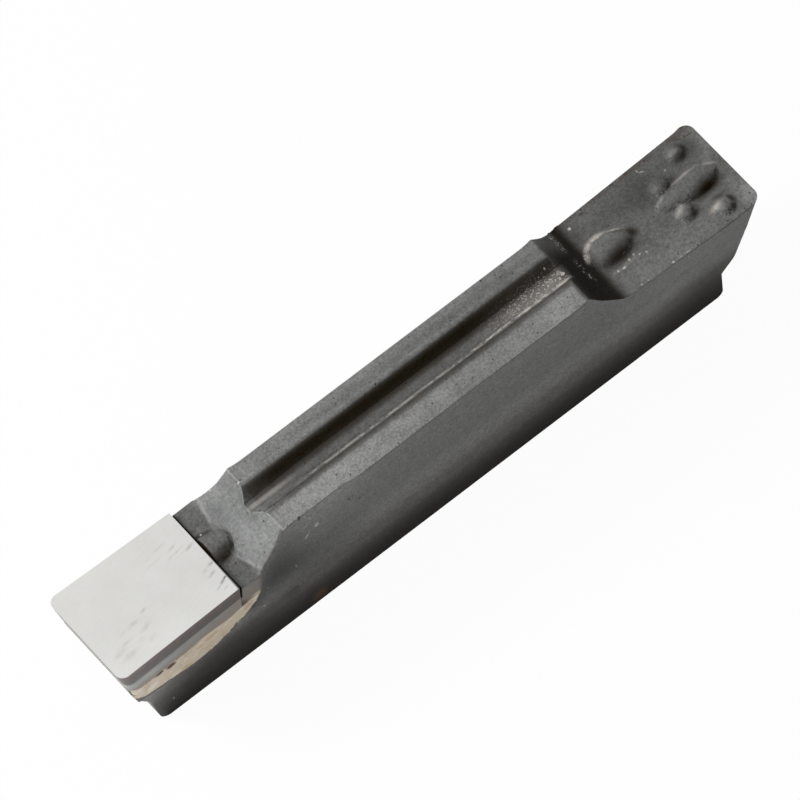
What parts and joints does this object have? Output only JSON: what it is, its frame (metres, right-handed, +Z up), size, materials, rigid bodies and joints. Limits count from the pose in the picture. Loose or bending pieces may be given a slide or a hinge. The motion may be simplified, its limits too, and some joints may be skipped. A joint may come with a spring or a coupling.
{
  "type": "tipped grooving insert",
  "caption": "Double-ended carbide grooving insert, one end ground and fitted with a brazed superhard tip, the other as pressed with a chip former.",
  "frame": {"origin": "centre of the footprint, at the underside of the foot", "axes": "+X from the brazed tip to the pressed end, +Y across the cutting width, +Z up out of the rake faces"},
  "size_m": [0.021, 0.003, 0.0049],
  "materials": {
    "sintered_carbide": "as sintered, matt dark grey with fine pits",
    "braze": "ground braze filler, tan with brown voids",
    "ground_backing": "ground carbide backing",
    "superhard_layer": "lapped pale grey top, ground darker edges"
  },
  "bodies": {
    "root": {"insert_body": "sintered_carbide", "braze_joint": "braze", "tip_backing": "ground_backing", "cutting_layer": "superhard_layer"}
  },
  "joints": []
}
